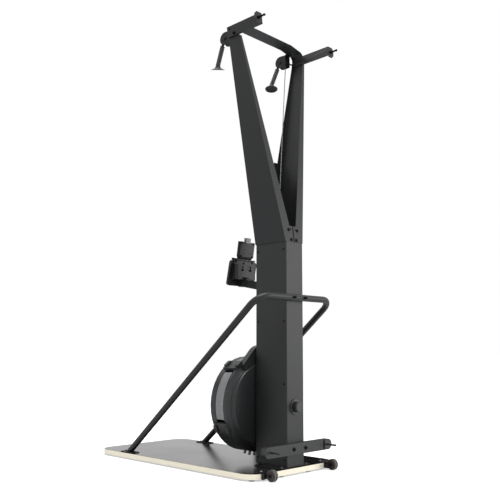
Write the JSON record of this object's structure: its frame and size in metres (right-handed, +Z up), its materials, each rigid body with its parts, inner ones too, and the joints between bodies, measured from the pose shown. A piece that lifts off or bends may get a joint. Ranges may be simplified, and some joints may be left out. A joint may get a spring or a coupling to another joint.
{
  "type": "ski trainer machine",
  "caption": "Upright ski trainer: board, column with fan and resistance knob, V mast with two cord pulleys and pull handles, tilting monitor, brace tube, wheels.",
  "frame": {"origin": "centre of the footprint on the floor, under the feet", "axes": "+Z up, -Y towards the user who stands on the board, +X to that user's right"},
  "size_m": [0.6114, 1.265, 2.2045],
  "materials": {
    "black_steel": "satin",
    "dark_steel": "matte",
    "board": "gloss",
    "light_rubber": "matte",
    "wheel_grey": "matte",
    "black_plastic": "satin",
    "bright_steel": "satin",
    "mesh_steel": "matte",
    "cord": "matte",
    "light_plastic": "satin",
    "screen": "gloss"
  },
  "bodies": {
    "frame": {"platform_board": "board", "foot_pad_rear_right": "light_rubber", "foot_pad_rear_left": "light_rubber", "foot_pad_corner_right": "light_rubber", "foot_pad_corner_left": "light_rubber", "foot_pad_front_right": "light_rubber", "foot_pad_front_left": "light_rubber", "column_base_plate": "dark_steel", "column_spine": "black_steel", "column_front_panel": "black_steel", "column_side_panel_right": "black_steel", "column_side_panel_left": "black_steel", "mast_bracket": "dark_steel", "arm_right": "black_steel", "arm_left": "black_steel", "arm_gusset": "dark_steel", "crossbar": "black_steel", "top_bracket_right": "black_steel", "top_bracket_left": "black_steel", "band_peg_right": "bright_steel", "band_peg_left": "bright_steel", "pulley_block_right": "dark_steel", "pulley_block_left": "dark_steel", "pulley_axle_right": "bright_steel", "pulley_axle_left": "bright_steel", "cord_lead_right": "cord", "cord_lead_left": "cord", "drive_cord_left": "cord", "drive_cord_right": "cord", "fan_front_cover": "dark_steel", "fan_cage": "mesh_steel", "fan_rear_housing": "dark_steel", "bearing_front": "bright_steel", "bearing_rear": "bright_steel", "return_spring_case": "dark_steel", "knob_dial": "black_steel", "bottom_bar": "black_steel", "brace_tube": "black_steel", "brace_foot_right": "dark_steel", "brace_foot_left": "dark_steel", "wheel_bracket_right": "dark_steel", "wheel_bracket_left": "dark_steel", "wheel_axle_right": "bright_steel", "wheel_axle_left": "bright_steel", "monitor_arm": "dark_steel"},
    "handle_right": {"handle_right": "black_plastic"},
    "handle_left": {"handle_left": "black_plastic"},
    "top_pulley_right": {"top_pulley_right": "black_plastic"},
    "top_pulley_left": {"top_pulley_left": "black_plastic"},
    "cord_drum_right": {"cord_drum_right": "black_plastic"},
    "cord_drum_left": {"cord_drum_left": "black_plastic"},
    "flywheel": {"flywheel": "bright_steel", "flywheel_shaft": "bright_steel"},
    "resistance_knob": {"resistance_knob": "black_plastic"},
    "wheel_right": {"transport_wheel_right": "wheel_grey"},
    "wheel_left": {"transport_wheel_left": "wheel_grey"},
    "monitor": {"monitor_body": "black_plastic", "monitor_screen": "screen", "device_holder": "black_plastic"},
    "holder_clip": {"holder_clip": "light_plastic"}
  },
  "joints": [
    {"name": "handle_right_pull", "type": "slide", "parent": "frame", "child": "handle_right", "axis": [0, 0, -1], "range_m": [0, 1.2], "stiffness_N_per_m": 4, "springref_m": -2, "deforming": ["cord_lead_right"]},
    {"name": "handle_left_pull", "type": "slide", "parent": "frame", "child": "handle_left", "axis": [0, 0, -1], "range_m": [0, 1.2], "stiffness_N_per_m": 4, "springref_m": -2, "deforming": ["cord_lead_left"]},
    {"name": "top_pulley_right_spin", "type": "hinge", "parent": "frame", "child": "top_pulley_right", "pos_m": [0.212, 0.2855, 2.157], "axis": [1, 0, 0], "range_deg": [0, 2460]},
    {"name": "top_pulley_left_spin", "type": "hinge", "parent": "frame", "child": "top_pulley_left", "pos_m": [-0.212, 0.2855, 2.157], "axis": [1, 0, 0], "range_deg": [0, 2460]},
    {"name": "cord_drum_right_spin", "type": "hinge", "parent": "frame", "child": "cord_drum_right", "pos_m": [0, 0.4405, 0.311], "axis": [0, 1, 0], "range_deg": [-2820, 0]},
    {"name": "cord_drum_left_spin", "type": "hinge", "parent": "frame", "child": "cord_drum_left", "pos_m": [0, 0.3965, 0.311], "axis": [0, 1, 0], "range_deg": [-2820, 0]},
    {"name": "flywheel_spin", "type": "hinge", "parent": "frame", "child": "flywheel", "pos_m": [0, 0.295, 0.311], "axis": [0, 1, 0], "continuous": true},
    {"name": "resistance_turn", "type": "hinge", "parent": "frame", "child": "resistance_knob", "pos_m": [0, 0.555, 0.309], "axis": [0, -1, 0], "range_deg": [0, 270]},
    {"name": "wheel_right_spin", "type": "hinge", "parent": "frame", "child": "wheel_right", "pos_m": [0.216, 0.5995, 0.027], "axis": [1, 0, 0], "continuous": true},
    {"name": "wheel_left_spin", "type": "hinge", "parent": "frame", "child": "wheel_left", "pos_m": [-0.216, 0.5995, 0.027], "axis": [1, 0, 0], "continuous": true},
    {"name": "monitor_tilt", "type": "hinge", "parent": "frame", "child": "monitor", "pos_m": [0, 0.2295, 0.913], "axis": [1, 0, 0], "range_deg": [-15, 20]},
    {"name": "holder_clip_slide", "type": "slide", "parent": "monitor", "child": "holder_clip", "axis": [0, 0.1564, 0.9877], "range_m": [0, 0.03], "stiffness_N_per_m": 150, "springref_m": -0.02}
  ],
  "couplings": [
    {"joint": "top_pulley_right_spin", "follows": "handle_right_pull", "rad_per_m": 35.714},
    {"joint": "top_pulley_left_spin", "follows": "handle_left_pull", "rad_per_m": 35.714},
    {"joint": "cord_drum_right_spin", "follows": "handle_right_pull", "rad_per_m": -40.816},
    {"joint": "cord_drum_left_spin", "follows": "handle_left_pull", "rad_per_m": -40.816}
  ]
}
